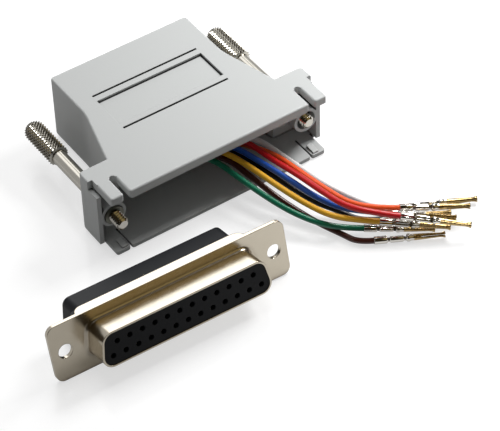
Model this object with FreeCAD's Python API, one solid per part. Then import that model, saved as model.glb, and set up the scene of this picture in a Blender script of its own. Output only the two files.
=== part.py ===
"""D-sub to ethernet adapter kit: hood with its modular jack, eight crimped leads,
two captive thumbscrews and the loose 25-way connector that the hood takes.

Millimetres. X runs across the hood, +Y points to the jack end, +Z is up.
The origin is the middle of the hood's underside.
"""
import FreeCAD
import Part
import math
import os

Vector = FreeCAD.Vector

# Hood: overall sizes
hood_length = 38.2
hood_height = 15.8
ear_span = 54.2
ear_depth = 10.6
block_width = 33.6
shoulder_width = 41.0
flare_length = 13.8
# Hood: walls
top_wall = 1.8
bottom_wall = 1.1
end_wall = 1.0
ear_wall = 1.4
side_wall = 1.6
rear_wall = 1.6
# Hood: rounded edges
block_corner = 0.8
flare_bend = 12.0
block_bottom_round = 1.2
top_edge_round = 0.4
ear_corner = 0.9
ear_heel_round = 1.5
# Hood: snap tabs beside the front lip
lip_width = 43.3
tab_slot = 1.4
tab_outer_width = 52.0
lower_lip_width = 43.9
lower_slot = 0.4
lower_tab_outer_width = 51.2
tab_slot_length = 5.9
tab_free_length = 7.1
tab_corner = 0.5
tab_edge_round = 0.4
tab_wall_gap = 0.3
barb_height = 0.6
barb_tip_height = 0.25
barb_margin = 0.5
lip_rim_height = 0.5
lip_rim_depth = 1.6
# Hood: label recess and the grooves beside it
recess_width = 25.5
recess_front = 17.9
recess_length = 8.4
recess_depth = 0.5
groove_width = 0.5
groove_depth = 1.2
outline_width = 0.35
groove_places = (16.3, 28.0)
# Seat for the connector's flange
seat_depth = 3.9
seat_clearance = 0.1

# Thumbscrews and their bosses
screw_spacing = 47.04
boss_radius = 2.9
thread_radius = 1.42
thread_clearance = 0.08
shank_radius = 1.6
shank_clearance = 0.1
ring_well_depth = 3.7
ring_well_clearance = 0.1
ledge_depth = 4.7
captive_travel = 7.0
left_push = 3.5
right_push = 0.9
stop_gap = 0.05
ring_radius = 2.1
ring_thickness = 0.6
ring_mouth = 1.9
ring_play = 0.04
groove_radius = 1.15
thread_reach = 3.3
tip_chamfer = 0.35
head_stand_off = 17.6
head_radius = 2.35
head_length = 11.2
head_dome = 1.9
head_chamfer = 0.3

# Modular jack
jack_width = 15.4
jack_height = 12.6
jack_length = 17.2
nose_width = 13.6
nose_height = 11.0
window_gap = 0.1
socket_width = 11.8
socket_height = 6.8
socket_depth = 14.0
socket_floor = 1.8
latch_width = 6.6
latch_height = 1.5
latch_key_width = 4.0
latch_key_height = 0.6
cradle_thickness = 1.2
cradle_gap = 0.1
pawl_reach = 0.7
pawl_length = 1.6
carrier_width = 12.2
carrier_length = 4.0
carrier_bottom = 1.5
carrier_height = 9.0
carrier_gap = 0.05
contact_count = 8
contact_pitch = 1.02
contact_radius = 0.23
contact_lift = 0.35
contact_mouth_gap = 2.4
contact_bend = 0.45
contact_rise = 8.0
contact_return = 7.5

# Leads and their crimp contacts
lead_diameter = 1.25
crimp_length = 14.3
insulation_crimp_radius = 0.83
insulation_crimp_length = 2.6
neck_radius = 0.55
neck_length = 0.6
wire_crimp_radius = 0.75
wire_crimp_length = 2.8
shoulder_radius = 0.83
shoulder_length = 0.6
socket_tube_radius = 0.7
socket_bore_radius = 0.5
socket_bore_depth = 4.6
arc_share = 0.45

# Loose 25-way connector
flange_width = 53.04
flange_height = 12.55
flange_thickness = 0.9
flange_corner = 1.8
ear_hole_radius = 1.53
shroud_top_width = 36.1
shroud_height = 7.7
shroud_slant = 10.0
shroud_corner = 2.4
shroud_length = 6.0
shroud_wall = 0.35
shroud_root = 0.8
flap_width = 37.8
flap_depth = 2.6
flap_thickness = 0.4
flap_corner = 2.0
face_gap = 0.05
face_recess = 0.1
cavity_pitch = 2.77
row_spacing = 2.84
long_row_count = 13
face_hole_radius = 0.58
cavity_radius = 1.0
base_width = 39.2
base_height = 11.1
base_depth = 3.1
base_corner = 1.8
rear_top_width = 35.6
rear_top = 5.2
rear_bottom = 4.42
rear_depth = 8.5
rear_corner = 1.6
rear_shift = -0.8
connector_x = -26.6
connector_y = -40.7
connector_yaw = -1.73

# Routes of the leads: from the jack's carrier, out of the hood's mouth, to the crimp
lead_routes = {
    "green": [(-4.7, 0.3, 8.0), (-4.5, -3.3, 8.0), (-1.8, -8.8, 8.0), (1.6, -14.4, 7.6),
              (3.0, -21.0, 6.8), (4.8, -27.1, 5.7), (7.0, -32.7, 4.55), (10.0, -37.3, 3.4),
              (14.2, -40.4, 1.85), (17.9, -42.8, 1.55)],
    "brown": [(-3.4, 0.3, 8.0), (-3.2, -3.5, 7.5), (-0.1, -8.6, 6.8), (4.7, -13.7, 6.2),
              (6.0, -20.3, 5.2), (7.6, -26.7, 3.8), (9.8, -32.1, 2.2), (12.0, -36.7, 1.0),
              (13.9, -40.9, 0.7), (14.9, -44.8, 1.0), (17.8, -46.4, 1.0)],
    "yellow": [(-2.0, 0.3, 8.0), (-1.9, -3.3, 8.2), (1.1, -8.6, 8.2), (4.8, -14.0, 7.6),
               (6.8, -20.6, 6.9), (8.4, -27.5, 6.2), (10.3, -33.8, 5.5), (12.7, -39.1, 4.95),
               (16.6, -42.5, 4.35), (20.1, -45.0, 3.85)],
    "black": [(-0.7, 0.3, 8.0), (-0.6, -3.5, 7.7), (2.9, -8.6, 6.7), (7.6, -13.8, 5.6),
              (9.7, -20.0, 4.7), (11.6, -26.2, 3.7), (13.7, -32.0, 2.7), (16.7, -36.0, 1.7),
              (19.0, -40.4, 0.95), (22.6, -42.3, 0.95)],
    "blue": [(0.7, 0.3, 8.0), (0.8, -3.3, 8.2), (3.6, -8.4, 8.1), (7.3, -13.5, 7.4),
             (9.4, -19.9, 6.7), (11.6, -26.2, 5.7), (13.4, -32.3, 4.7), (15.9, -37.3, 4.1),
             (19.5, -40.5, 3.55), (23.1, -43.1, 3.1)],
    "red": [(2.0, 0.3, 8.0), (2.2, -3.3, 8.1), (5.7, -8.3, 8.1), (10.0, -13.3, 7.6),
            (11.2, -19.8, 7.1), (12.9, -26.2, 6.9), (14.0, -33.2, 6.9), (15.5, -40.0, 6.7),
            (20.1, -44.8, 6.0), (23.5, -47.4, 5.35)],
    "orange": [(3.4, 0.3, 8.0), (3.5, -3.3, 7.5), (6.6, -8.2, 6.5), (10.3, -13.0, 6.1),
               (13.4, -18.5, 5.9), (14.6, -25.4, 5.7), (15.9, -32.2, 5.5), (17.5, -38.5, 5.3),
               (21.4, -42.7, 5.05), (25.2, -44.9, 4.75)],
    "white": [(4.7, 0.3, 8.0), (5.1, -3.1, 7.2), (8.7, -7.5, 6.0), (13.6, -11.5, 5.2),
              (15.1, -18.0, 4.6), (16.6, -23.8, 3.9), (18.3, -29.3, 3.0), (20.6, -33.8, 2.1),
              (22.8, -37.7, 1.5), (25.4, -40.9, 1.25), (29.0, -42.7, 1.2)],
}

# Planes that several pieces share
front_y = -hood_length / 2
rear_y = hood_length / 2
ear_back_y = front_y + ear_depth
seat_y = front_y + seat_depth
bay_floor = bottom_wall
bay_roof = hood_height - top_wall
axis_z = (bay_floor + bay_roof) / 2
screw_x = screw_spacing / 2
jack_face_y = rear_y - rear_wall
jack_inner_y = jack_face_y - jack_length
jack_top = bay_floor + jack_height
socket_floor_z = bay_floor + socket_floor
socket_end_y = rear_y - socket_depth
over = 1.0
tiny = 1e-6


def box(x_range, y_range, z_range):
    """Block between two values on each axis."""
    corner = Vector(x_range[0], y_range[0], z_range[0])
    return Part.makeBox(x_range[1] - x_range[0], y_range[1] - y_range[0],
                        z_range[1] - z_range[0], corner)


def mirror_x(shape):
    """Copy on the other side of the middle plane."""
    return shape.mirror(Vector(0, 0, 0), Vector(1, 0, 0))


def both_sides(shape):
    """The shape and its mirror image as two solids."""
    return [shape, mirror_x(shape)]


def prism(outline, z_range):
    """Upright prism on a closed plan outline of (x, y) points."""
    points = [Vector(x, y, z_range[0]) for x, y in outline]
    wire = Part.makePolygon(points + points[:1])
    return Part.Face(wire).extrude(Vector(0, 0, z_range[1] - z_range[0]))


def bent_edges(points, bends):
    """Straight runs joined by tangent arcs; a bend of zero leaves its corner sharp."""
    edges = []
    start = points[0]
    for before, corner, after, bend in zip(points, points[1:], points[2:], bends):
        inward = (before - corner).normalize()
        outward = (after - corner).normalize()
        half_turn = (math.pi - inward.getAngle(outward)) / 2
        reach = bend * math.tan(half_turn)
        first = corner + inward * reach
        last = corner + outward * reach
        edges.append(Part.LineSegment(start, first).toShape())
        if reach > tiny:
            centre = corner + (inward + outward).normalize() * math.hypot(bend, reach)
            middle = centre + (corner - centre).normalize() * bend
            edges.append(Part.Arc(first, middle, last).toShape())
        start = last
    edges.append(Part.LineSegment(start, points[-1]).toShape())
    return edges


def flared_prism(right, bends, z_range):
    """Upright prism, symmetric about the middle, on a right-hand run of (x, y) corners."""
    corners = right + [(-x, y) for x, y in reversed(right)]
    points = [Vector(x, y, z_range[0]) for x, y in corners]
    middle = (points[0] + points[-1]) / 2
    edges = bent_edges([middle] + points + [middle], bends + bends[::-1])
    return Part.Face(Part.Wire(edges)).extrude(Vector(0, 0, z_range[1] - z_range[0]))


def upright_edges(shape, places):
    """Vertical edges that stand at the given (x, y) places."""
    found = []
    for edge in shape.Edges:
        low, high = edge.BoundBox.ZMin, edge.BoundBox.ZMax
        if edge.BoundBox.XLength > tiny or edge.BoundBox.YLength > tiny or high - low < tiny:
            continue
        middle = edge.BoundBox.Center
        if any(math.hypot(middle.x - x, middle.y - y) < 10 * tiny for x, y in places):
            found.append(edge)
    return found


def level_edges(shape, height, keep):
    """Horizontal edges at one height whose middle passes the keep test."""
    return [edge for edge in shape.Edges
            if abs(edge.BoundBox.ZMin - height) < tiny
            and abs(edge.BoundBox.ZMax - height) < tiny
            and keep(edge.BoundBox.Center)]


def y_cylinder(radius, x, y_range, z):
    """Cylinder that lies along Y."""
    return Part.makeCylinder(radius, y_range[1] - y_range[0],
                             Vector(x, y_range[0], z), Vector(0, 1, 0))


def lathe(profile, axis_point, axis):
    """Turned solid from a closed run of points that starts and ends on the axis."""
    wire = Part.makePolygon(profile + profile[:1])
    return Part.Face(wire).revolve(axis_point, axis, 360)


def hood_block():
    """Rear body of the hood: straight at the jack, flaring out to the ears."""
    half = block_width / 2
    flare_end_y = ear_back_y + flare_length
    right = [(shoulder_width / 2, ear_back_y - 2 * ear_heel_round),
             (shoulder_width / 2, ear_back_y),
             (half, flare_end_y),
             (half, rear_y)]
    body = flared_prism(right, [0, 0, flare_bend, block_corner], (0, hood_height))
    behind = lambda point: point.y > ear_back_y - ear_heel_round / 2
    body = body.makeFillet(block_bottom_round, level_edges(body, 0, behind))
    return body.makeFillet(top_edge_round, level_edges(body, hood_height, behind))


def hood_ears():
    """Wide front bar of the hood whose ends carry the screws."""
    half = ear_span / 2
    bar = box((-half, half), (front_y + tab_slot_length - tab_slot / 2, ear_back_y),
              (0, hood_height))
    corners = upright_edges(bar, [(half, ear_back_y), (-half, ear_back_y)])
    bar = bar.makeFillet(ear_corner, corners)
    outer = lambda point: point.y > ear_back_y - ear_depth / 2
    bar = bar.makeFillet(ear_heel_round, level_edges(bar, 0, outer))
    return bar.makeFillet(top_edge_round, level_edges(bar, hood_height, outer))


def end_walls():
    """Thin walls that close the ears' ends up to the flange seat."""
    half = ear_span / 2
    wall = box((half - end_wall, half), (seat_y, ear_back_y - ear_depth / 4),
               (bay_floor, bay_roof - tab_wall_gap))
    return both_sides(wall)


def tongue(x_range, y_range, z_range, outer_z):
    """Flat tongue with rounded front corners and a rounded outer edge."""
    plate = box(x_range, y_range, z_range)
    tips = upright_edges(plate, [(x_range[0], y_range[0]), (x_range[1], y_range[0])])
    plate = plate.makeFillet(tab_corner, tips)
    free = lambda point: point.y < y_range[1] - tiny
    return plate.makeFillet(tab_edge_round, level_edges(plate, outer_z, free))


def barb(x_range, root_z, sign):
    """Snap wedge on a tab's inner face that hooks over the connector's flange."""
    back = seat_y - flange_thickness - seat_clearance
    tip = front_y + tab_edge_round
    profile = [(tip, -sign * over / 4), (tip, sign * barb_tip_height),
               (back, sign * barb_height), (back, -sign * over / 4)]
    points = [Vector(x_range[0], y, root_z + z) for y, z in profile]
    face = Part.Face(Part.makePolygon(points + points[:1]))
    return face.extrude(Vector(x_range[1] - x_range[0], 0, 0))


def front_plates():
    """Lip and snap tabs on top, and the same again below."""
    parts = []
    length = (front_y, ear_back_y - ear_depth / 4)
    upper_tab = (lip_width / 2 + tab_slot, tab_outer_width / 2)
    lower_tab = (lower_lip_width / 2 + lower_slot, lower_tab_outer_width / 2)
    for z_range, outer, inner, sign, lip_half, tab in (
            ((bay_roof, hood_height), hood_height, bay_roof, -1, lip_width / 2, upper_tab),
            ((0, bottom_wall), 0, bay_floor, 1, lower_lip_width / 2, lower_tab)):
        hook = (tab[0] + barb_margin, tab[1] - barb_margin - end_wall)
        parts.append(tongue((-lip_half, lip_half), length, z_range, outer))
        parts += both_sides(tongue(tab, length, z_range, outer))
        parts += both_sides(barb(hook, inner, sign))
    return parts


def lip_rim():
    """Bead under the top lip's front edge."""
    half = lip_width / 2 - tab_corner
    front = front_y + tab_edge_round / 2
    profile = [(front, bay_roof + over / 4), (front, bay_roof - lip_rim_height),
               (front + lip_rim_depth / 2, bay_roof - lip_rim_height),
               (front + lip_rim_depth, bay_roof + over / 4)]
    points = [Vector(-half, y, z) for y, z in profile]
    face = Part.Face(Part.makePolygon(points + points[:1]))
    return face.extrude(Vector(2 * half, 0, 0))


def hood_bay():
    """Open inside of the hood, from the connector's side to the jack's wall."""
    back = ear_back_y - ear_wall
    flare_end_y = ear_back_y + flare_length
    right = [(ear_span / 2 - end_wall, front_y - over),
             (ear_span / 2 - end_wall, back),
             (shoulder_width / 2 - side_wall, back),
             (block_width / 2 - side_wall, flare_end_y - side_wall / 2),
             (block_width / 2 - side_wall, rear_y - rear_wall)]
    return flared_prism(right, [0, 0, 0, flare_bend + side_wall, 0], (bay_floor, bay_roof))


def tab_cuts():
    """Rounded slots beside each tab and the free space outside it, top and bottom."""
    cuts = []
    above = (bay_roof - tab_wall_gap, hood_height + over)
    below = (-over, bay_floor)
    for z_range, lip_half, slot in ((above, lip_width / 2, tab_slot),
                                    (below, lower_lip_width / 2, lower_slot)):
        eye_y = front_y + tab_slot_length - slot / 2
        cuts.append(Part.makeCylinder(slot / 2, z_range[1] - z_range[0],
                                      Vector(lip_half + slot / 2, eye_y, z_range[0])))
        cuts.append(box((lip_half, lip_half + slot), (front_y - over, eye_y), z_range))
    cuts.append(box((tab_outer_width / 2, ear_span),
                    (front_y - over, front_y + tab_free_length), above))
    outer = lower_tab_outer_width / 2
    cuts.append(box((outer, ear_span), (front_y - over, seat_y), below))
    cuts.append(box((outer, ear_span / 2 - end_wall),
                    (front_y - over, front_y + tab_slot_length), below))
    return cuts + [mirror_x(cut) for cut in cuts]


def screw_bosses():
    """Round bosses that carry the captive screws."""
    boss = y_cylinder(boss_radius, screw_x, (seat_y, ear_back_y - ear_wall / 2), axis_z)
    limit = box((0, ear_span / 2), (front_y, ear_back_y), (0, hood_height))
    return both_sides(boss.common(limit))


def screw_holes():
    """Stepped holes: a well for the ring, a narrow ledge and the shank's bore."""
    ledge_y = seat_y + ledge_depth
    well = y_cylinder(ring_radius + ring_well_clearance, screw_x,
                      (seat_y - over, seat_y + ring_well_depth), axis_z)
    narrow = y_cylinder(thread_radius + thread_clearance, screw_x,
                        (seat_y, ledge_y + over), axis_z)
    wide = y_cylinder(shank_radius + shank_clearance, screw_x,
                      (ledge_y, ear_back_y + over), axis_z)
    return both_sides(narrow.fuse([well, wide]))


def jack_cradle():
    """Two walls beside the jack, each ending in a snap pawl."""
    inner = jack_width / 2 + cradle_gap
    outer = inner + cradle_thickness
    start = jack_inner_y - pawl_length
    wall = box((inner, outer), (start, jack_face_y + over / 2),
               (bay_floor - over / 4, bay_roof + over / 4))
    tip = [(inner + over / 4, start), (inner, start),
           (inner - pawl_reach, jack_inner_y - cradle_gap),
           (inner + over / 4, jack_inner_y - cradle_gap)]
    pawl = prism(tip, (axis_z - nose_height / 4, axis_z + nose_height / 4))
    return both_sides(wall.fuse(pawl))


def jack_window():
    """Opening in the rear wall that shows the jack's nose."""
    middle_z = bay_floor + jack_height / 2
    half_w = nose_width / 2 + window_gap
    half_h = nose_height / 2 + window_gap
    return box((-half_w, half_w), (jack_face_y - over, rear_y + over),
               (middle_z - half_h, middle_z + half_h))


def top_marks():
    """Label recess, the deep outline along two of its sides and the two straight grooves."""
    half = recess_width / 2
    start = front_y + recess_front
    end = start + recess_length
    shallow = (hood_height - recess_depth, hood_height + over)
    deep = (hood_height - groove_depth, hood_height + over)
    cuts = [box((-half, half), (start, end), shallow),
            box((-half, half), (end - outline_width, end), deep),
            box((half - outline_width, half), (start, end), deep)]
    for place in groove_places:
        middle = front_y + place
        cuts.append(box((-half, half), (middle - groove_width / 2, middle + groove_width / 2),
                        deep))
    return cuts


def hood():
    """One-piece moulded hood."""
    body = hood_block().fuse(hood_ears())
    body = body.cut(hood_bay())
    added = end_walls() + front_plates() + [lip_rim()] + screw_bosses() + jack_cradle()
    body = body.fuse(added)
    body = body.cut(tab_cuts() + screw_holes() + [jack_window()] + top_marks())
    return body.removeSplitter()


def jack_housing():
    """Moulded body of the eight-way jack with its stepped plug opening."""
    middle_z = bay_floor + jack_height / 2
    body = box((-jack_width / 2, jack_width / 2), (jack_inner_y, jack_face_y),
               (bay_floor, jack_top))
    nose = box((-nose_width / 2, nose_width / 2), (jack_face_y - over, rear_y),
               (middle_z - nose_height / 2, middle_z + nose_height / 2))
    body = body.fuse(nose)
    deep = (socket_end_y, rear_y + over)
    roof = socket_floor_z + socket_height
    plug = box((-socket_width / 2, socket_width / 2), deep, (socket_floor_z, roof))
    latch = box((-latch_width / 2, latch_width / 2), deep, (roof - over, roof + latch_height))
    key_top = roof + latch_height + latch_key_height
    key = box((-latch_key_width / 2, latch_key_width / 2), deep, (roof, key_top))
    pocket_end = jack_inner_y + carrier_length
    pocket = box((-carrier_width / 2, carrier_width / 2), (jack_inner_y - over, pocket_end),
                 (bay_floor + carrier_bottom, bay_floor + carrier_bottom + carrier_height))
    comb = box((-socket_width / 2, socket_width / 2), (pocket_end - over, socket_end_y + over),
               (socket_floor_z, socket_floor_z + 2 * contact_lift + contact_radius))
    return body.cut([plug, latch, key, pocket, comb]).removeSplitter()


def contact_carrier():
    """Insert that holds the contact wires and takes the leads at its front face."""
    half = carrier_width / 2 - carrier_gap
    low = bay_floor + carrier_bottom
    return box((-half, half), (jack_inner_y, jack_inner_y + carrier_length),
               (low, low + carrier_height - carrier_gap))


def round_tube(spine, radius, start, along):
    """Round solid swept along a wire from its start point and first direction."""
    section = Part.Wire(Part.makeCircle(radius, start, along))
    return spine.makePipeShell([section], True, False)


def jack_contact(index):
    """Spring contact: along the socket's floor, round at the mouth and back up."""
    x = (index - (contact_count - 1) / 2) * contact_pitch
    low = socket_floor_z + contact_lift
    back = jack_inner_y + carrier_length
    mouth = rear_y - contact_mouth_gap
    rise = math.radians(contact_rise)
    turn_z = low + contact_bend * (1 + math.cos(rise))
    start = Vector(x, back, low)
    first = Vector(x, mouth, low)
    centre = Vector(x, mouth, low + contact_bend)
    middle = centre + Vector(0, math.cos(rise / 2), -math.sin(rise / 2)) * contact_bend
    last = Vector(x, mouth + contact_bend * math.sin(rise), turn_z)
    tip = last + Vector(0, -math.cos(rise), math.sin(rise)) * contact_return
    spine = Part.Wire([Part.LineSegment(start, first).toShape(),
                       Part.Arc(first, middle, last).toShape(),
                       Part.LineSegment(last, tip).toShape()])
    return round_tube(spine, contact_radius, start, Vector(0, 1, 0))


def lead(name):
    """One insulated lead, with arcs as large as its runs allow."""
    points = [Vector(*point) for point in lead_routes[name]]
    bends = []
    for before, corner, after in zip(points, points[1:], points[2:]):
        shorter = min((before - corner).Length, (after - corner).Length)
        half_turn = (math.pi - (before - corner).getAngle(after - corner)) / 2
        bends.append(arc_share * shorter / math.tan(half_turn))
    spine = Part.Wire(bent_edges(points, bends))
    tube = round_tube(spine, lead_diameter / 2, points[0], points[1] - points[0])
    ideal = math.pi * lead_diameter ** 2 / 4 * spine.Length
    print(f"lead {name}: length {spine.Length:.1f}, tightest arc {min(bends):.1f}, "
          f"volume ratio {tube.Volume / ideal:.4f}")
    return tube


def crimp_contact(name):
    """Crimped socket contact, in line with the last run of its lead."""
    before, end = [Vector(*point) for point in lead_routes[name][-2:]]
    along = (end - before).normalize()
    stations = [(0, 0), (insulation_crimp_radius, 0),
                (insulation_crimp_radius, insulation_crimp_length)]
    place = insulation_crimp_length
    stations += [(neck_radius, place), (neck_radius, place + neck_length)]
    place += neck_length
    stations += [(wire_crimp_radius, place), (wire_crimp_radius, place + wire_crimp_length)]
    place += wire_crimp_length
    stations += [(neck_radius, place), (neck_radius, place + neck_length)]
    place += neck_length
    stations += [(shoulder_radius, place), (shoulder_radius, place + shoulder_length)]
    place += shoulder_length
    bore_start = crimp_length - socket_bore_depth
    stations += [(socket_tube_radius, place), (socket_tube_radius, crimp_length),
                 (socket_bore_radius, crimp_length), (socket_bore_radius, bore_start),
                 (0, bore_start)]
    profile = [Vector(radius, 0, distance) for radius, distance in stations]
    turned = lathe(profile, Vector(0, 0, 0), Vector(0, 0, 1))
    turned.Placement = FreeCAD.Placement(end, FreeCAD.Rotation(Vector(0, 0, 1), along))
    return turned


def ring_front_y(push):
    """Front face of a retaining ring for a screw pushed in from its rear stop."""
    return seat_y + ring_well_depth - stop_gap - ring_thickness - push


def thumbscrew(side, push):
    """Captive screw: threaded tip, ring groove, shank and long head."""
    ring_front = ring_front_y(push)
    ring_back = ring_front + ring_thickness
    tip = ring_front - thread_reach
    shoulder = seat_y + ledge_depth + captive_travel - push
    head_front = ear_back_y + head_stand_off - push
    head_back = head_front + head_length
    stations = [(0, tip), (thread_radius - tip_chamfer, tip),
                (thread_radius, tip + tip_chamfer),
                (thread_radius, ring_front - ring_play), (groove_radius, ring_front - ring_play),
                (groove_radius, ring_back + ring_play), (thread_radius, ring_back + ring_play),
                (thread_radius, shoulder), (shank_radius, shoulder),
                (shank_radius, head_front), (head_radius - head_chamfer, head_front),
                (head_radius, head_front + head_chamfer), (head_radius, head_back), (0, head_back)]
    profile = [Vector(radius, y, 0) for radius, y in stations]
    screw = lathe(profile, Vector(0, 0, 0), Vector(0, 1, 0))
    rim = [edge for edge in screw.Edges
           if edge.BoundBox.YMin > head_back - tiny and edge.BoundBox.XLength > head_radius]
    screw = screw.makeFillet(head_dome, rim)
    screw.translate(Vector(side * screw_x, 0, axis_z))
    return screw


def retaining_ring(side, push):
    """Open ring snapped into the screw's groove; it rests in the boss's well."""
    front = ring_front_y(push)
    span = (front, front + ring_thickness)
    ring = y_cylinder(ring_radius, side * screw_x, span, axis_z)
    ring = ring.cut(y_cylinder(groove_radius + ring_play, side * screw_x,
                               (front - over, front + ring_thickness + over), axis_z))
    mouth = box((side * screw_x - ring_mouth / 2, side * screw_x + ring_mouth / 2),
                (front - over, front + ring_thickness + over),
                (axis_z - ring_radius - over, axis_z))
    return ring.cut(mouth)


def d_outline(top_width, top_z, bottom_z, corner):
    """Face of the D form in the connector's own XZ plane, narrow side up."""
    spread = (top_z - bottom_z) * math.tan(math.radians(shroud_slant))
    half_top = top_width / 2
    half_low = half_top + spread
    points = [Vector(half_top, 0, top_z), Vector(half_low, 0, bottom_z),
              Vector(-half_low, 0, bottom_z), Vector(-half_top, 0, top_z)]
    face = Part.Face(Part.makePolygon(points + points[:1]))
    block = face.extrude(Vector(0, over, 0))
    sharp = [edge for edge in block.Edges
             if edge.BoundBox.YLength > over / 2 and edge.BoundBox.XLength < tiny]
    rounded = block.makeFillet(corner, sharp)
    flat = [side for side in rounded.Faces if side.BoundBox.YMax < tiny]
    return flat[0]


def d_prism(top_width, top_z, bottom_z, corner, y_range):
    """Straight block of D section."""
    face = d_outline(top_width, top_z, bottom_z, corner)
    face.translate(Vector(0, y_range[0], 0))
    return face.extrude(Vector(0, y_range[1] - y_range[0], 0))


def place_connector(shape):
    """Lay the connector on the floor: it leans back on its flange and rear block."""
    lean = math.atan2(flange_height / 2 - rear_bottom, rear_depth - flange_thickness)
    lift = flange_thickness * math.sin(lean) + flange_height / 2 * math.cos(lean)
    tilt = FreeCAD.Rotation(Vector(1, 0, 0), -math.degrees(lean))
    turn = FreeCAD.Rotation(Vector(0, 0, 1), connector_yaw)
    moved = shape.copy()
    moved.Placement = FreeCAD.Placement(Vector(connector_x, connector_y, lift),
                                        turn.multiply(tilt))
    return moved


def rounded_slab(width, depth_range, z_range, corner):
    """Plate with two rounded rear corners in plan."""
    slab = box((-width / 2, width / 2), depth_range, z_range)
    places = [(-width / 2, depth_range[1]), (width / 2, depth_range[1])]
    return slab.makeFillet(corner, upright_edges(slab, places))


def connector_shell():
    """Drawn metal front: flange with two ears, D shroud and the flap folded back on top."""
    half_h = flange_height / 2
    plate = box((-flange_width / 2, flange_width / 2), (0, flange_thickness),
                (-half_h, half_h))
    corners = [edge for edge in plate.Edges if edge.BoundBox.YLength > flange_thickness / 2]
    plate = plate.makeFillet(flange_corner, corners)
    top = shroud_height / 2
    body = plate.fuse(d_prism(shroud_top_width, top, -top, shroud_corner,
                              (-shroud_length, flange_thickness / 2)))
    foot = shroud_top_width / 2 + shroud_height * math.tan(math.radians(shroud_slant))
    root = [edge for edge in body.Edges
            if max(abs(edge.BoundBox.YMin), abs(edge.BoundBox.YMax)) < tiny
            and max(abs(edge.BoundBox.ZMin), abs(edge.BoundBox.ZMax)) < top + tiny
            and max(abs(edge.BoundBox.XMin), abs(edge.BoundBox.XMax)) < foot]
    body = body.makeFillet(shroud_root, root)
    flap = rounded_slab(flap_width, (flange_thickness / 2, flap_depth),
                        (half_h - flap_thickness, half_h), flap_corner)
    flap.translate(Vector(rear_shift, 0, 0))
    body = body.fuse(flap)
    inner = d_prism(shroud_top_width - 2 * shroud_wall, top - shroud_wall, shroud_wall - top,
                    shroud_corner - shroud_wall, (-shroud_length - over, flange_thickness + over))
    holes = [y_cylinder(ear_hole_radius, side * screw_x, (-over, flange_thickness + over), 0)
             for side in (-1, 1)]
    return body.cut([inner] + holes).removeSplitter()


def cavity_places():
    """Centres of the 25 contact cavities: the long row lies below."""
    places = []
    for count, z in ((long_row_count, -row_spacing / 2), (long_row_count - 1, row_spacing / 2)):
        for index in range(count):
            places.append(((index - (count - 1) / 2) * cavity_pitch, z))
    return places


def cavities(radius, y_range):
    """Round holes for the contacts over one stretch of depth."""
    return [y_cylinder(radius, x, y_range, z) for x, z in cavity_places()]


def front_insulator():
    """Black moulding that fills the shroud, with its base behind the flange."""
    gap = shroud_wall + face_gap
    top = shroud_height / 2 - gap
    face = d_prism(shroud_top_width - 2 * gap, top, -top, shroud_corner - gap,
                   (face_recess - shroud_length, flange_thickness + over / 4))
    base = rounded_slab(base_width, (flange_thickness, base_depth),
                        (-base_height / 2, base_height / 2), base_corner)
    base.translate(Vector(rear_shift, 0, 0))
    body = face.fuse(base)
    return body.cut(cavities(face_hole_radius, (-shroud_length - over, base_depth + over)))


def rear_insulator():
    """Black block behind the base that the crimped contacts snap into."""
    body = d_prism(rear_top_width, rear_top, -rear_bottom, rear_corner,
                   (base_depth, rear_depth))
    body.translate(Vector(rear_shift, 0, 0))
    return body.cut(cavities(cavity_radius, (base_depth - over, rear_depth + over)))


def all_parts():
    """Every piece by its name."""
    parts = {"hood": hood(), "jack_housing": jack_housing(), "contact_carrier": contact_carrier()}
    for index in range(contact_count):
        parts[f"jack_contact_{index + 1}"] = jack_contact(index)
    for name in lead_routes:
        parts[f"lead_{name}"] = lead(name)
        parts[f"crimp_contact_{name}"] = crimp_contact(name)
    for side_name, side, push in (("left", -1, left_push), ("right", 1, right_push)):
        parts[f"{side_name}_thumbscrew"] = thumbscrew(side, push)
        parts[f"{side_name}_retaining_ring"] = retaining_ring(side, push)
    parts["connector_shell"] = place_connector(connector_shell())
    parts["front_insulator"] = place_connector(front_insulator())
    parts["rear_insulator"] = place_connector(rear_insulator())
    return parts


os.makedirs("parts", exist_ok=True)
for node, shape in all_parts().items():
    shape.exportStep(f"parts/{node}.step")
    print(f"{node}: valid {shape.isValid()}, solids {len(shape.Solids)}, "
          f"volume {shape.Volume:.1f}, z from {shape.BoundBox.ZMin:.3f}")
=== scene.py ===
import math

import bmesh
import bpy
from mathutils import Matrix, Vector


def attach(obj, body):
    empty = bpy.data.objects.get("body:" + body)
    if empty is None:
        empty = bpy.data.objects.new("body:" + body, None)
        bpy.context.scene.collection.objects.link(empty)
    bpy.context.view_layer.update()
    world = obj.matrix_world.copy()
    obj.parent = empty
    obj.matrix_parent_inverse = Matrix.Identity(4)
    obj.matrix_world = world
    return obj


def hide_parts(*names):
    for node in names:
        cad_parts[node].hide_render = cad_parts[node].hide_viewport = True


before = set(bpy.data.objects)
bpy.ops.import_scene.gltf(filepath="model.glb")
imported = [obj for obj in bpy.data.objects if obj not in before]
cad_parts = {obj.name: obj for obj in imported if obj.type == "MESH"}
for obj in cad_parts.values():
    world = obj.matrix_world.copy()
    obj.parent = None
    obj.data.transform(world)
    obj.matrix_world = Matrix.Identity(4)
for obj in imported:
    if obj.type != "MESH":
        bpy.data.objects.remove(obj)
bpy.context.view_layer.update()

# The table and its light.
camera_round = math.radians(-33.52)
camera_height = math.radians(44.40)
camera_roll = math.radians(-1.80)
camera_aim = Vector((0.00240, -0.02506, 0.0))
camera_distance = 0.4868
camera_lens = 172.88


def put(name, data):
    """An object of the scene that shows this mesh, curve, lamp or camera."""
    thing = bpy.data.objects.new(name, data)
    bpy.context.scene.collection.objects.link(thing)
    return thing


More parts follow.
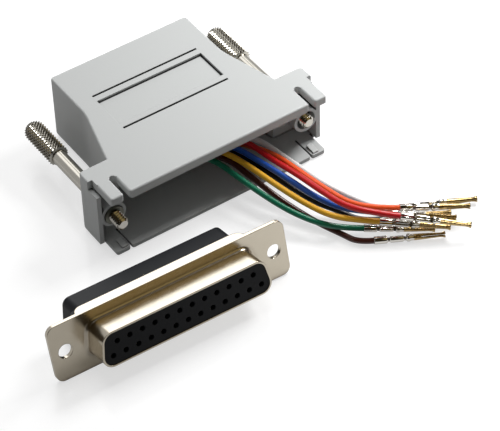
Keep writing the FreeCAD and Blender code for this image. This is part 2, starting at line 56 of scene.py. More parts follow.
back = Vector((math.sin(camera_round) * math.cos(camera_height),
               -math.cos(camera_round) * math.cos(camera_height), math.sin(camera_height)))
level = Vector((math.cos(camera_round), math.sin(camera_round), 0.0))
upright = back.cross(level)
right = level * math.cos(camera_roll) + upright * math.sin(camera_roll)
top = upright * math.cos(camera_roll) - level * math.sin(camera_roll)
camera_data = bpy.data.cameras.new("camera")
camera_data.lens = camera_lens
camera_data.clip_start = 0.05
camera_data.clip_end = 20.0
camera = put("camera", camera_data)
camera.matrix_world = Matrix.Translation(camera_aim + back * camera_distance) @ Matrix(
    (right, top, back)).transposed().to_4x4()
bpy.context.scene.camera = camera
bpy.context.scene.view_settings.view_transform = "Standard"


def linear(hex_colour):
    """A written sRGB colour as linear red, green, blue and alpha."""
    parts = [int(hex_colour[i:i + 2], 16) / 255 for i in (1, 3, 5)]
    return [p / 12.92 if p <= 0.04045 else ((p + 0.055) / 1.055) ** 2.4 for p in parts] + [1.0]


def add(tree, kind, inputs=(), **settings):
    """A node with its settings and its inputs, each a value or another node's output."""
    node = tree.nodes.new(kind)
    for key, value in settings.items():
        setattr(node, key, value)
    for key, value in dict(inputs).items():
        if isinstance(value, bpy.types.NodeSocket):
            tree.links.new(value, node.inputs[key])
        else:
            node.inputs[key].default_value = value
    return node


def new_material(name):
    """An empty material and its node tree."""
    material = bpy.data.materials.new(name)
    material.use_nodes = True
    material.node_tree.nodes.clear()
    return material, material.node_tree


# Its own glow burns it out to plain white for the camera. For mirror rays it glows as a painted
# reflection, from 0.09 on the left to 0.34 on the right, so the metals mirror it brighter on the
# right.
half_table = 1.5
glow_for_camera = 0.6
card, tree = new_material("glossy_white_card")
rays = add(tree, "ShaderNodeLightPath")
spot = add(tree, "ShaderNodeSeparateXYZ", {0: add(tree, "ShaderNodeTexCoord").outputs["Object"]})
# painted reflection: a glow that only mirror rays see, rising from left to right across the card
side = add(tree, "ShaderNodeMapRange", {"Value": spot.outputs[0], "From Min": -0.035,
                                        "From Max": 0.015, "To Min": 0.09, "To Max": 0.34})
painted_reflection_glow = add(tree, "ShaderNodeMath", {0: rays.outputs["Is Glossy Ray"], 1: side.outputs[0]},
               operation="MULTIPLY")
glow = add(tree, "ShaderNodeMath", {0: rays.outputs["Is Camera Ray"], 1: glow_for_camera,
                                    2: painted_reflection_glow.outputs[0]}, operation="MULTIPLY_ADD")
sheet = add(tree, "ShaderNodeBsdfPrincipled", {
    "Base Color": linear("#B4B4B4"), "Roughness": 0.16, "IOR": 1.45,
    "Emission Color": linear("#FFFFFF"), "Emission Strength": glow.outputs[0]})
add(tree, "ShaderNodeOutputMaterial", {"Surface": sheet.outputs[0]})
mesh = bpy.data.meshes.new("table")
mesh.from_pydata([(-half_table, -half_table, 0), (half_table, -half_table, 0),
                  (half_table, half_table, 0), (-half_table, half_table, 0)], [],
                 [(0, 1, 2, 3)])
mesh.materials.append(card)
table = put("table", mesh)

# The metals mirror a dark warm room in front and a light wall behind, with soft panels in it.
# Matt faces get an even grey that is lighter on the left, and the camera sees white.
world = bpy.data.worlds.new("studio")
world.use_nodes = True
bpy.context.scene.world = world
tree = world.node_tree
tree.nodes.clear()
way = add(tree, "ShaderNodeTexCoord").outputs["Generated"]
axes = add(tree, "ShaderNodeSeparateXYZ", {0: way})
depth = add(tree, "ShaderNodeMapRange", {"Value": axes.outputs[1], "From Min": 0.1,
                                         "From Max": 0.7}, interpolation_type="SMOOTHSTEP")
lit = add(tree, "ShaderNodeMixRGB", {"Fac": depth.outputs[0], "Color1": linear("#2A2317"),
                                     "Color2": linear("#B4B4B4")}).outputs[0]
# each panel's direction, the cosines at its edge and at its full light, colour and strength:
# low behind, overhead, over the left screw, and a warm one in front
panels = (((0.394, 0.851, 0.347), 0.93, 0.985, "#FFFFFF", 1.6),
          ((0.394, 0.596, 0.700), 0.985, 0.997, "#FFFFFF", 1.2),
          ((-0.08, 0.596, 0.799), 0.95, 0.985, "#FFFFFF", 1.1),
          ((0.394, -0.597, 0.700), 0.80, 0.97, "#8C7C54", 1.0))
for aim, edge, heart, colour, strength in panels:
    aimed = add(tree, "ShaderNodeVectorMath", {0: way, 1: aim}, operation="DOT_PRODUCT")
    panel = add(tree, "ShaderNodeMapRange", {"Value": aimed.outputs["Value"], "From Min": edge,
                                             "From Max": heart, "To Max": strength},
                interpolation_type="SMOOTHSTEP")
    lit = add(tree, "ShaderNodeVectorMath",
              {0: linear(colour)[:3], 1: panel.outputs[0], 2: lit},
              operation="MULTIPLY_ADD").outputs[0]
rays = add(tree, "ShaderNodeLightPath")
leftward = add(tree, "ShaderNodeMapRange", {"Value": axes.outputs[0], "From Min": 0.0,
                                            "From Max": -1.0})
soft = add(tree, "ShaderNodeMixRGB", {"Fac": leftward.outputs[0], "Color1": linear("#727272"),
                                      "Color2": linear("#B4B4B4")})
even = add(tree, "ShaderNodeMixRGB", {"Fac": rays.outputs["Is Diffuse Ray"], "Color1": lit,
                                      "Color2": soft.outputs[0]})
seen = add(tree, "ShaderNodeMixRGB", {"Fac": rays.outputs["Is Camera Ray"],
                                      "Color1": even.outputs[0], "Color2": linear("#FFFFFF")})
sky = add(tree, "ShaderNodeBackground", {"Color": seen.outputs[0], "Strength": 1.0})
add(tree, "ShaderNodeOutputWorld", {"Surface": sky.outputs[0]})


def lamp(name, place, aim, size, power, in_mirrors):
    """A square soft box that looks at a point, and shows or not in what mirrors it."""
    data = bpy.data.lights.new(name, "AREA")
    data.shape = "SQUARE"
    data.size = size
    data.energy = power
    box = put(name, data)
    box.visible_glossy = in_mirrors
    place = Vector(place)
    turn = (place - Vector(aim)).to_track_quat("Z", "Y")
    box.matrix_world = Matrix.Translation(place) @ turn.to_matrix().to_4x4()


lamp("soft_box_above", (0.10, 0.27, 0.75), (0.0, 0.0, 0.0), 0.45, 2.1, False)
lamp("soft_box_near", (0.12, -0.005, 0.13), (0.01, -0.02, 0.0), 0.06, 0.27, True)


# Modular jack. A black moulded PBT housing that snaps between the hood's two walls, with a
# carrier of the same resin at its back and eight sprung contacts of gold plated wire.
def dress(node, material):
    """Give a node of the frame its finish."""
    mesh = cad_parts[node].data
    mesh.materials.clear()
    mesh.materials.append(material)


# Near black with a dull sheen, and edges that catch a thin line of light. The moulding's
# grain is too fine to show, so it is drawn coarser, at 0.19 mm.
jack_black, tree = new_material("moulded_black_pbt")
place = add(tree, "ShaderNodeTexCoord")
grain = add(tree, "ShaderNodeTexNoise", {"Vector": place.outputs["Object"], "Scale": 5200.0,
                                         "Detail": 2.0})
edge = add(tree, "ShaderNodeBevel", {"Radius": 0.0001}, samples=6)
relief = add(tree, "ShaderNodeBump", {"Strength": 0.15, "Distance": 0.00002,
                                      "Height": grain.outputs[0], "Normal": edge.outputs[0]})
plastic = add(tree, "ShaderNodeBsdfPrincipled", {
    "Base Color": linear("#17181A"), "Roughness": 0.36, "IOR": 1.57,
    "Normal": relief.outputs[0]})
add(tree, "ShaderNodeOutputMaterial", {"Surface": plastic.outputs[0]})
dress("jack_housing", jack_black)
dress("contact_carrier", jack_black)

# Smooth and yellow, so that the contacts glint in the dark socket.
gold_wire, tree = new_material("gold_plated_wire")
wire = add(tree, "ShaderNodeBsdfPrincipled", {
    "Base Color": linear("#D9AE58"), "Metallic": 1.0, "Roughness": 0.2})
add(tree, "ShaderNodeOutputMaterial", {"Surface": wire.outputs[0]})
for index in range(1, 9):
    dress(f"jack_contact_{index}", gold_wire)

# Leads. Stranded copper in extruded glossy PVC, eight colours, each pushed into the jack's
# carrier at one end and crimped at the other; they sweep out of the hood in one bundle.
lead_width = 0.00125
lead_colours = {"green": "#0B6B4E", "brown": "#43190F", "yellow": "#D9A224", "black": "#0C0B0B",
                "blue": "#1A50AC", "red": "#C2141A", "orange": "#EC5A22", "white": "#F0EFED"}
# the routes' points and the lengths are in millimetres
lead_lines = {
    "green": [(-4.7, 0.3, 8.0), (-4.5, -3.3, 8.0), (-1.8, -8.8, 8.0), (1.6, -14.4, 7.6),
              (3.0, -21.0, 6.8), (4.8, -27.1, 5.7), (7.0, -32.7, 4.55), (10.0, -37.3, 3.4),
              (14.2, -40.4, 1.85), (17.9, -42.8, 1.55)],
    "brown": [(-3.4, 0.3, 8.0), (-3.2, -3.5, 7.5), (-0.1, -8.6, 6.8), (4.7, -13.7, 6.2),
              (6.0, -20.3, 5.2), (7.6, -26.7, 3.8), (9.8, -32.1, 2.2), (12.0, -36.7, 1.0),
              (13.9, -40.9, 0.7), (14.9, -44.8, 1.0), (17.8, -46.4, 1.0)],
    "yellow": [(-2.0, 0.3, 8.0), (-1.9, -3.3, 8.2), (1.1, -8.6, 8.2), (4.8, -14.0, 7.6),
               (6.8, -20.6, 6.9), (8.4, -27.5, 6.2), (10.3, -33.8, 5.5), (12.7, -39.1, 4.95),
               (16.6, -42.5, 4.35), (20.1, -45.0, 3.85)],
    "black": [(-0.7, 0.3, 8.0), (-0.6, -3.5, 7.7), (2.9, -8.6, 6.7), (7.6, -13.8, 5.6),
              (9.7, -20.0, 4.7), (11.6, -26.2, 3.7), (13.7, -32.0, 2.7), (16.7, -36.0, 1.7),
              (19.0, -40.4, 0.95), (22.6, -42.3, 0.95)],
    "blue": [(0.7, 0.3, 8.0), (0.8, -3.3, 8.2), (3.6, -8.4, 8.1), (7.3, -13.5, 7.4),
             (9.4, -19.9, 6.7), (11.6, -26.2, 5.7), (13.4, -32.3, 4.7), (15.9, -37.3, 4.1),
             (19.5, -40.5, 3.55), (23.1, -43.1, 3.1)],
    "red": [(2.0, 0.3, 8.0), (2.2, -3.3, 8.1), (5.7, -8.3, 8.1), (10.0, -13.3, 7.6),
            (11.2, -19.8, 7.1), (12.9, -26.2, 6.9), (14.0, -33.2, 6.9), (15.5, -40.0, 6.7),
            (20.1, -44.8, 6.0), (23.5, -47.4, 5.35)],
    "orange": [(3.4, 0.3, 8.0), (3.5, -3.3, 7.5), (6.6, -8.2, 6.5), (10.3, -13.0, 6.1),
               (13.4, -18.5, 5.9), (14.6, -25.4, 5.7), (15.9, -32.2, 5.5), (17.5, -38.5, 5.3),
               (21.4, -42.7, 5.05), (25.2, -44.9, 4.75)],
    "white": [(4.7, 0.3, 8.0), (5.1, -3.1, 7.2), (8.7, -7.5, 6.0), (13.6, -11.5, 5.2),
              (15.1, -18.0, 4.6), (16.6, -23.8, 3.9), (18.3, -29.3, 3.0), (20.6, -33.8, 2.1),
              (22.8, -37.7, 1.5), (25.4, -40.9, 1.25), (29.0, -42.7, 1.2)],
}
pvc, wires = {}, {}
for name, points in lead_lines.items():
    # Glossy and strong in colour, with waves of about 1.1 mm that break up the highlight.
    pvc[name], tree = new_material(f"{name}_pvc")
    place = add(tree, "ShaderNodeTexCoord")
    wave = add(tree, "ShaderNodeTexNoise", {"Vector": place.outputs["Object"], "Scale": 900.0,
                                            "Detail": 1.0})
    relief = add(tree, "ShaderNodeBump", {"Strength": 0.06, "Distance": 0.00004,
                                          "Height": wave.outputs[0]})
    plastic = add(tree, "ShaderNodeBsdfPrincipled", {
        "Base Color": linear(lead_colours[name]), "Roughness": 0.28, "IOR": 1.53,
        "Normal": relief.outputs[0]})
    add(tree, "ShaderNodeOutputMaterial", {"Surface": plastic.outputs[0]})
    line = bpy.data.curves.new(f"lead_{name}_line", "CURVE")
    line.dimensions = "3D"
    line.bevel_depth = lead_width / 2
    line.bevel_resolution = 5
    line.resolution_u = 12
    line.use_fill_caps = True
    spline = line.splines.new("NURBS")
    spline.points.add(len(points) - 1)
    for point, spot in zip(spline.points, points):
        point.co = [c / 1000 for c in spot] + [1.0]
    spline.order_u = 3
    spline.use_endpoint_u = True
    line.materials.append(pvc[name])
    lead = put(f"wire_{name}", line)
    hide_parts(f"lead_{name}")
    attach(lead, "adapter")
    wires[name] = lead

# Crimp contacts. Stamped and rolled from thin phosphor bronze, tin plated where the two
# barrels grip the lead and gold plated at the split socket that takes the mating pin.

# Bright and nearly a mirror, with painted shade that darkens seams and folds to draw each barrel's
# outline. The plate's grain is too fine to show, so it is drawn coarser, at 0.33 mm.
tin_plate, tree = new_material("tin_plated_bronze")
place = add(tree, "ShaderNodeTexCoord")
grain = add(tree, "ShaderNodeTexNoise", {"Vector": place.outputs["Object"], "Scale": 3000.0,
                                         "Detail": 2.0})
polish = add(tree, "ShaderNodeMapRange", {"Value": grain.outputs[0], "To Min": 0.1,
                                          "To Max": 0.22})
# painted shade: the colour goes dark where other faces stand within 0.5 mm
painted_shade_occlusion = add(tree, "ShaderNodeAmbientOcclusion", {"Distance": 0.0005}, samples=8)
reach = add(tree, "ShaderNodeMapRange", {"Value": painted_shade_occlusion.outputs["AO"], "From Min": 0.45,
                                         "From Max": 0.9})
painted_shade_colour = add(tree, "ShaderNodeMixRGB", {"Fac": reach.outputs[0], "Color1": linear("#2A241C"),
                                      "Color2": linear("#E9E5DE")})
metal = add(tree, "ShaderNodeBsdfPrincipled", {
    "Base Color": painted_shade_colour.outputs[0], "Metallic": 1.0, "Roughness": polish.outputs[0]})
add(tree, "ShaderNodeOutputMaterial", {"Surface": metal.outputs[0]})

# A pale, duller gold that sets the socket tubes off from the tin. Its grain is drawn coarser
# too, at 0.33 mm.
gold_plate, tree = new_material("gold_plated_bronze")
place = add(tree, "ShaderNodeTexCoord")
grain = add(tree, "ShaderNodeTexNoise", {"Vector": place.outputs["Object"], "Scale": 3000.0,
                                         "Detail": 2.0})
polish = add(tree, "ShaderNodeMapRange", {"Value": grain.outputs[0], "To Min": 0.18,
                                          "To Max": 0.34})
metal = add(tree, "ShaderNodeBsdfPrincipled", {
    "Base Color": linear("#BCA270"), "Metallic": 1.0, "Roughness": polish.outputs[0]})
add(tree, "ShaderNodeOutputMaterial", {"Surface": metal.outputs[0]})

# A dull greyish metal that fills the open gap between the barrels.
strand_copper, tree = new_material("tinned_copper_strand")
metal = add(tree, "ShaderNodeBsdfPrincipled", {
    "Base Color": linear("#A39684"), "Metallic": 1.0, "Roughness": 0.35})
add(tree, "ShaderNodeOutputMaterial", {"Surface": metal.outputs[0]})

# all sizes of the contacts are in millimetres
sheet_thickness = 0.11
sheet_columns = 24
gold_start = 8.0
slot_start = 9.5
# place along the contact, radius, half of the open gap in degrees, depth of the rolled-in fold
sheet_stations = [
    (0.0, 0.74, 12, 0.0), (0.12, 0.80, 10, 0.0), (2.42, 0.80, 10, 0.0), (2.6, 0.74, 24, 0.0),
    (2.75, 0.52, 100, 0.0), (3.1, 0.52, 100, 0.0), (3.28, 0.68, 20, 0.1), (3.42, 0.73, 4, 0.3),
    (5.7, 0.73, 4, 0.3), (5.9, 0.66, 20, 0.1), (6.05, 0.52, 95, 0.0), (6.4, 0.52, 90, 0.0),
    (6.6, 0.76, 12, 0.0), (6.7, 0.81, 6, 0.0), (7.15, 0.81, 6, 0.0), (7.3, 0.66, 6, 0.0),
    (8.0, 0.66, 6, 0.0), (9.5, 0.62, 6, 0.0), (11.0, 0.56, 6, 0.0), (13.2, 0.46, 6, 0.0),
    (13.8, 0.52, 6, 0.0), (14.3, 0.68, 6, 0.0)]
fold_sharpness = 6
# how far each contact is turned about its own line, in degrees
contact_rolls = {"green": 20, "brown": -35, "yellow": 60, "black": 10, "blue": -20, "red": 35,
                 "orange": -10, "white": 75}
# what lies in the barrels: radius, start and end of the insulation and of the bare strands
core_runs = ((0.6, -0.1, 2.5), (0.36, 2.45, 6.3))
core_sides = 16
core_pinch = 0.02


def round_rings(mesh, rings, slot):
    """Skin a run of closed vertex rings with faces in one material slot."""
    for first, second in zip(rings, rings[1:]):
        for k in range(len(first)):
            n = (k + 1) % len(first)
            face = mesh.faces.new((first[k], first[n], second[n], second[k]))
            face.material_index = slot
            face.smooth = True


def as_mesh(shape, name):
    """A plain mesh from its finished making."""
    mesh = bpy.data.meshes.new(name)
    shape.to_mesh(mesh)
    shape.free()
    return mesh


for name, points in lead_lines.items():
    end = Vector(points[-1])
    along = (end - Vector(points[-2])).normalized()
    level = along.cross(Vector((0, 0, 1))).normalized()
    side = Matrix.Rotation(math.radians(contact_rolls[name]), 3, along) @ level
    over = side.cross(along)
    shape = bmesh.new()
    rows = []
    for place, radius, gap, fold in sheet_stations:
        row = []
        for k in range(sheet_columns + 1):
            angle = math.radians(gap + (360 - 2 * gap) * k / sheet_columns)
            near_seam = max(0.0, math.cos(angle)) ** fold_sharpness
            reach = radius - fold * near_seam
            spot = (end + along * place + over * (reach * math.cos(angle))
                    + side * (reach * math.sin(angle)))
            row.append(shape.verts.new(spot / 1000))
        rows.append(row)
    quarter = sheet_columns // 4
    split_columns = (quarter - 1, quarter, 3 * quarter - 1, 3 * quarter)
    for station, first, second in zip(sheet_stations, rows, rows[1:]):
        for k in range(sheet_columns):
            if k in split_columns and station[0] >= slot_start:
                continue
            face = shape.faces.new((first[k], first[k + 1], second[k + 1], second[k]))
            face.material_index = 1 if station[0] >= gold_start else 0
            face.smooth = True
    bmesh.ops.recalc_face_normals(shape, faces=shape.faces)
    mesh = as_mesh(shape, f"contact_{name}")
    mesh.materials.append(tin_plate)
    mesh.materials.append(gold_plate)
    contact = put(f"contact_{name}", mesh)
    skin = contact.modifiers.new("sheet", "SOLIDIFY")
    skin.thickness = sheet_thickness / 1000
    skin.offset = -1.0
    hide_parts(f"crimp_contact_{name}")
    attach(contact, "adapter")
    core = bmesh.new()
    for slot, (radius, start, stop) in enumerate(core_runs):
        rings = []
        for place, reach in ((start, core_pinch), (start, radius), (stop, radius),
                             (stop, core_pinch)):
            ring = []
            for k in range(core_sides):
                angle = math.tau * k / core_sides
                spot = (end + along * place + over * (reach * math.cos(angle))
                        + side * (reach * math.sin(angle)))
                ring.append(core.verts.new(spot / 1000))
            rings.append(ring)
        round_rings(core, rings, slot)
    bmesh.ops.recalc_face_normals(core, faces=core.faces)
    mesh = as_mesh(core, f"strands_{name}")
    mesh.materials.append(pvc[name])
    mesh.materials.append(strand_copper)
    strands = put(f"strands_{name}", mesh)
    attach(strands, "adapter")

# Hood. One injection moulding in light grey ABS with a fine spark-eroded texture; the
# connector snaps between its lips and the screws turn in its two bosses.

# Satin light grey, with painted shade that darkens slots, grooves and inner corners; the grain
# keeps the wide top from looking flat. It is too fine to show, so it is drawn coarser, at 0.24 mm.
hood_grey, tree = new_material("moulded_grey_abs")
place = add(tree, "ShaderNodeTexCoord")
grain = add(tree, "ShaderNodeTexNoise", {"Vector": place.outputs["Object"], "Scale": 4200.0,
                                         "Detail": 3.0})
edge = add(tree, "ShaderNodeBevel", {"Radius": 0.00018}, samples=6)
relief = add(tree, "ShaderNodeBump", {"Strength": 0.12, "Distance": 0.00003,
                                      "Height": grain.outputs[0], "Normal": edge.outputs[0]})
# painted shade: the colour goes dark where other faces stand within 1.1 mm
painted_shade_occlusion = add(tree, "ShaderNodeAmbientOcclusion", {"Distance": 0.0011}, samples=8)
reach = add(tree, "ShaderNodeMapRange", {"Value": painted_shade_occlusion.outputs["AO"], "From Min": 0.38,
                                         "From Max": 0.72})
painted_shade_colour = add(tree, "ShaderNodeMixRGB", {"Fac": reach.outputs[0], "Color1": linear("#1E1F1E"),
                                      "Color2": linear("#B9BBBA")})
plastic = add(tree, "ShaderNodeBsdfPrincipled", {
    "Base Color": painted_shade_colour.outputs[0], "Roughness": 0.48, "IOR": 1.53, "Normal": relief.outputs[0]})
add(tree, "ShaderNodeOutputMaterial", {"Surface": plastic.outputs[0]})
dress("hood", hood_grey)

# Thumbscrews. Turned steel with bright nickel plate: a cut thread at the tip, a smooth shank
# and a long head whose diamond knurl runs over its round end. A spring ring holds each one.

# Bright, with painted shade that makes the hollows warm and dark, so that thread and knurl sparkle
# ridge by ridge. The plate's grain is too fine to show, so it is drawn coarser, at 0.4 mm.
nickel, tree = new_material("bright_nickel_plate")
place = add(tree, "ShaderNodeTexCoord")
grain = add(tree, "ShaderNodeTexNoise", {"Vector": place.outputs["Object"], "Scale": 2500.0,
                                         "Detail": 2.0})
polish = add(tree, "ShaderNodeMapRange", {"Value": grain.outputs[0], "To Min": 0.12,
                                          "To Max": 0.24})
# painted shade: the colour goes dark where other faces stand within 0.5 mm
painted_shade_occlusion = add(tree, "ShaderNodeAmbientOcclusion", {"Distance": 0.0005}, samples=8)
reach = add(tree, "ShaderNodeMapRange", {"Value": painted_shade_occlusion.outputs["AO"], "From Min": 0.35,
                                         "From Max": 0.8})
painted_shade_colour = add(tree, "ShaderNodeMixRGB", {"Fac": reach.outputs[0], "Color1": linear("#4A453A"),
                                      "Color2": linear("#D0CCC2")})
metal = add(tree, "ShaderNodeBsdfPrincipled", {
    "Base Color": painted_shade_colour.outputs[0], "Metallic": 1.0, "Roughness": polish.outputs[0]})
add(tree, "ShaderNodeOutputMaterial", {"Surface": metal.outputs[0]})

# Dull grey with no clear mirror image, which sets the ring off from the bright screw. Its
# crystals are too fine to show, so they are drawn coarser, at 0.17 mm.
phosphate, tree = new_material("phosphated_spring_steel")
place = add(tree, "ShaderNodeTexCoord")
grain = add(tree, "ShaderNodeTexNoise", {"Vector": place.outputs["Object"], "Scale": 6000.0,
                                         "Detail": 2.0})
polish = add(tree, "ShaderNodeMapRange", {"Value": grain.outputs[0], "To Min": 0.4,
                                          "To Max": 0.6})
metal = add(tree, "ShaderNodeBsdfPrincipled", {
    "Base Color": linear("#85857C"), "Metallic": 1.0, "Roughness": polish.outputs[0]})
add(tree, "ShaderNodeOutputMaterial", {"Surface": metal.outputs[0]})

# One sheet of vertices, rolled into a round with ridges that climb about it: one way for a
# thread, crossed for a knurl. Its far end may close over a dome.
ridges = bpy.data.node_groups.new("cut_ridges", "GeometryNodeTree")
face = ridges.interface
face.new_socket("Geometry", in_out="OUTPUT", socket_type="NodeSocketGeometry")
face.new_socket("Geometry", in_out="INPUT", socket_type="NodeSocketGeometry")
sizes = ("Radius", "Depth", "Straight", "Dome", "Around", "Along", "Crossed")
for name in sizes:
    face.new_socket(name, in_out="INPUT", socket_type="NodeSocketFloat")
for name in ("Columns", "Rows"):
    face.new_socket(name, in_out="INPUT", socket_type="NodeSocketInt")
face.new_socket("Finish", in_out="INPUT", socket_type="NodeSocketMaterial")
given = add(ridges, "NodeGroupInput").outputs
tiny = 1e-6
flat = add(ridges, "GeometryNodeMeshGrid", {
    "Size X": 1.0, "Size Y": 1.0, "Vertices X": given["Columns"], "Vertices Y": given["Rows"]})
spot = add(ridges, "ShaderNodeSeparateXYZ",
           {0: add(ridges, "GeometryNodeInputPosition").outputs[0]})
terms = {name: given[name] for name in sizes}
terms["across"], terms["up"] = spot.outputs[0], spot.outputs[1]
# each sum has a name, an operation and its terms, which are numbers or named before
for name, operation, *values in (
        ("around", "ADD", "across", 0.5),
        ("along", "ADD", "up", 0.5),
        ("quarter arc", "MULTIPLY", "Dome", math.pi / 2),
        ("whole way", "ADD", "Straight", "quarter arc"),
        ("travel", "MULTIPLY", "along", "whole way"),
        ("past straight", "SUBTRACT", "travel", "Straight"),
        ("on dome", "MAXIMUM", "past straight", 0.0),
        ("dome size", "MAXIMUM", "Dome", tiny),
        ("bend", "DIVIDE", "on dome", "dome size"),
        ("on straight", "MINIMUM", "travel", "Straight"),
        ("sine of bend", "SINE", "bend"),
        ("rise", "MULTIPLY", "Dome", "sine of bend"),
        ("height", "ADD", "on straight", "rise"),
        ("cosine of bend", "COSINE", "bend"),
        ("closing", "SUBTRACT", 1.0, "cosine of bend"),
        ("shrink", "MULTIPLY", "Dome", "closing"),
        ("turns", "MULTIPLY", "around", "Around"),
        ("climbs", "MULTIPLY", "along", "Along"),
        ("one slant", "ADD", "turns", "climbs"),
        ("one cut", "PINGPONG", "one slant", 0.5),
        ("other slant", "SUBTRACT", "turns", "climbs"),
        ("other cut", "PINGPONG", "other slant", 0.5),
        ("left out", "SUBTRACT", 1.0, "Crossed"),
        ("second cut", "MAXIMUM", "other cut", "left out"),
        ("both cuts", "MINIMUM", "one cut", "second cut"),
        ("crest", "MULTIPLY", "both cuts", 2.0),
        ("hollow", "SUBTRACT", 1.0, "crest"),
        ("cut depth", "MULTIPLY", "Depth", "hollow"),
        ("blank radius", "SUBTRACT", "Radius", "shrink"),
        ("radius", "SUBTRACT", "blank radius", "cut depth"),
        ("angle", "MULTIPLY", "around", math.tau),
        ("cosine", "COSINE", "angle"),
        ("x", "MULTIPLY", "radius", "cosine"),
        ("sine", "SINE", "angle"),
        ("z", "MULTIPLY", "radius", "sine")):
    inputs = {index: terms.get(value, value) for index, value in enumerate(values)}
    terms[name] = add(ridges, "ShaderNodeMath", inputs, operation=operation).outputs[0]
wrapped = add(ridges, "ShaderNodeCombineXYZ", {0: terms["x"], 1: terms["height"],
                                               2: terms["z"]})
moved = add(ridges, "GeometryNodeSetPosition",
            {"Geometry": flat.outputs[0], "Position": wrapped.outputs[0]})
sewn = add(ridges, "GeometryNodeMergeByDistance", {"Geometry": moved.outputs[0], "Distance": tiny})
real = add(ridges, "GeometryNodeRealizeInstances", {0: sewn.outputs[0]})
coated = add(ridges, "GeometryNodeSetMaterial",
             {"Geometry": real.outputs[0], "Material": given["Finish"]})
add(ridges, "NodeGroupOutput", {0: coated.outputs[0]})


def ridged(values):
    """A plain mesh of one ridged round, along +Y from the origin."""
    holder = put("ridged_blank", bpy.data.meshes.new("ridged_blank"))
    cut = holder.modifiers.new("ridges", "NODES")
    cut.node_group = ridges
    for item in ridges.interface.items_tree:
        if item.in_out == "INPUT" and item.name in values:
            cut[item.identifier] = values[item.name]
    bpy.context.view_layer.update()
    graph = bpy.context.evaluated_depsgraph_get()
    mesh = bpy.data.meshes.new_from_object(holder.evaluated_get(graph))
    holder.modifiers.clear()
    bpy.data.objects.remove(holder)
    return mesh


turned_sides = 48


def turned(profile):
    """A plain mesh of a turned round from (radius, place) in metres, along +Y."""
    shape = bmesh.new()
    rings = [[shape.verts.new((r * math.cos(math.tau * k / turned_sides), y,
                               r * math.sin(math.tau * k / turned_sides)))
              for k in range(turned_sides)]
             for r, y in profile]
    round_rings(shape, rings, 0)
    return as_mesh(shape, "turned")


screw_height = 0.00755
thread_radius = 0.00142
thread_pitch = 0.000635
thread_depth = 0.00036
thread_columns = 49
rows_per_turn = 10
tip_chamfer = 0.0002
front_thread, rear_thread, groove = 0.00326, 0.00801, 0.00068
groove_radius, groove_mouth = 0.00115, 0.0012
shoulder = front_thread + groove + rear_thread
shank_radius = 0.0016
head_front = 0.02455
shank_length = head_front - shoulder
head_radius = 0.00235
head_dome = 0.0019
head_length = 0.0112
head_chamfer = 0.00025
straight = head_length - head_dome
knurl_teeth = 18
knurl_depth = 0.00034
knurl_climb = round((straight + head_dome * math.pi / 2) / (math.tau * head_radius) * knurl_teeth)
vertices_per_tooth = 8
axis_radius = 1e-5
for name, x, tip in (("left", -0.02352, -0.01895), ("right", 0.02352, -0.01635)):
    parts = [(0.0, turned([(axis_radius, 0.0), (0.00095, 0.0), (0.0012, 0.00025),
                           (0.00112, 0.0004)]))]
    for start, length in ((tip_chamfer, front_thread - tip_chamfer),
                          (front_thread + groove, rear_thread)):
        turns_cut = length / thread_pitch
        parts.append((start, ridged({
            "Radius": thread_radius, "Depth": thread_depth, "Straight": length, "Dome": 0.0,
            "Around": 1.0, "Along": turns_cut, "Crossed": 0.0, "Columns": thread_columns,
            "Rows": int(turns_cut * rows_per_turn), "Finish": nickel})))
    parts.append((front_thread, turned([(groove_mouth, 0.0), (groove_radius, 0.0),
                                        (groove_radius, groove), (groove_mouth, groove)])))
    parts.append((shoulder, turned([
        (0.0011, 0.0), (0.00145, 0.0), (shank_radius, 0.00015),
        (shank_radius, shank_length - 0.00002), (0.0018, shank_length),
        (0.00215, shank_length + 0.0002), (0.0021, shank_length + 0.0004)])))
    parts.append((head_front + head_chamfer, ridged({
        "Radius": head_radius, "Depth": knurl_depth, "Straight": straight - head_chamfer,
        "Dome": head_dome, "Around": float(knurl_teeth), "Along": float(knurl_climb),
        "Crossed": 1.0, "Columns": knurl_teeth * vertices_per_tooth + 1,
        "Rows": knurl_climb * vertices_per_tooth + 1, "Finish": nickel})))
    parts.append((head_front + head_length, turned([(0.0005, -0.0003), (0.00045, -0.00008),
                                                    (axis_radius, 0.0)])))
    whole = bmesh.new()
    for start, mesh in parts:
        mesh.transform(Matrix.Translation((x, tip + start, screw_height)))
        whole.from_mesh(mesh)
        bpy.data.meshes.remove(mesh)
    bmesh.ops.recalc_face_normals(whole, faces=whole.faces)
    mesh = as_mesh(whole, f"{name}_screw_metal")
    mesh.set_sharp_from_angle(angle=math.radians(30))
    mesh.materials.append(nickel)
    screw = put(f"{name}_screw_metal", mesh)
    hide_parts(f"{name}_thumbscrew")
    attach(screw, f"{name}_screw")
    dress(f"{name}_retaining_ring", phosphate)
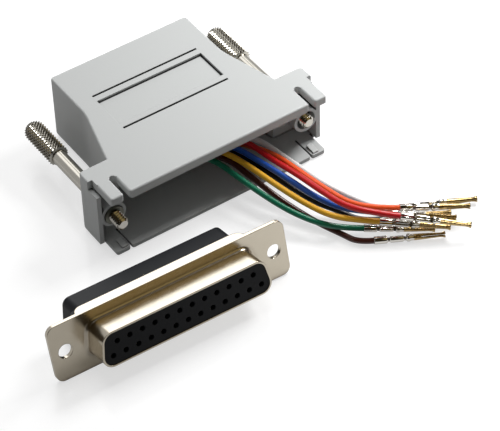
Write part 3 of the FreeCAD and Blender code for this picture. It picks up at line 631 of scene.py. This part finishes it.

# Loose connector. A drawn steel shell with bright tin plate grips two black mouldings of
# glass-filled polyester: the face with its sockets and the block behind for the crimps.

# A clear mirror with clouds of 1.4 mm and faint ripples, so that what it mirrors wavers as on
# drawn sheet. Painted shade turns it a dark golden brown where flange, flap and shroud face each
# other.
shell_tin, tree = new_material("tin_plated_steel")
place = add(tree, "ShaderNodeTexCoord")
clouds = add(tree, "ShaderNodeTexNoise", {"Vector": place.outputs["Object"], "Scale": 700.0,
                                          "Detail": 4.0})
polish = add(tree, "ShaderNodeMapRange", {"Value": clouds.outputs[0], "To Min": 0.16,
                                          "To Max": 0.3})
edge = add(tree, "ShaderNodeBevel", {"Radius": 0.0002}, samples=8)
relief = add(tree, "ShaderNodeBump", {"Strength": 0.05, "Distance": 0.00004,
                                      "Height": clouds.outputs[0], "Normal": edge.outputs[0]})
# painted shade: the colour goes dark golden brown where other faces stand within 1.6 mm
painted_shade_occlusion = add(tree, "ShaderNodeAmbientOcclusion", {"Distance": 0.0016,
                                                    "Normal": edge.outputs[0]}, samples=8)
reach = add(tree, "ShaderNodeMapRange", {"Value": painted_shade_occlusion.outputs["AO"], "From Min": 0.45,
                                         "From Max": 0.9})
painted_shade_colour = add(tree, "ShaderNodeMixRGB", {"Fac": reach.outputs[0], "Color1": linear("#4A2E04"),
                                      "Color2": linear("#DCD3C2")})
metal = add(tree, "ShaderNodeBsdfPrincipled", {
    "Base Color": painted_shade_colour.outputs[0], "Metallic": 1.0, "Roughness": polish.outputs[0],
    "Normal": relief.outputs[0]})
add(tree, "ShaderNodeOutputMaterial", {"Surface": metal.outputs[0]})
dress("connector_shell", shell_tin)

# Nearly black with little shine, so that the face stays dark under the lamps and its sockets
# darker still. The moulding's grain is too fine to show, so it is drawn coarser, at 0.19 mm.
block_black, tree = new_material("moulded_black_polyester")
place = add(tree, "ShaderNodeTexCoord")
grain = add(tree, "ShaderNodeTexNoise", {"Vector": place.outputs["Object"], "Scale": 5200.0,
                                         "Detail": 2.0})
edge = add(tree, "ShaderNodeBevel", {"Radius": 0.0002}, samples=8)
relief = add(tree, "ShaderNodeBump", {"Strength": 0.12, "Distance": 0.00002,
                                      "Height": grain.outputs[0], "Normal": edge.outputs[0]})
plastic = add(tree, "ShaderNodeBsdfPrincipled", {
    "Base Color": linear("#14161A"), "Roughness": 0.42, "IOR": 1.5, "Specular IOR Level": 0.2,
    "Normal": relief.outputs[0]})
add(tree, "ShaderNodeOutputMaterial", {"Surface": plastic.outputs[0]})
dress("front_insulator", block_black)
dress("rear_insulator", block_black)
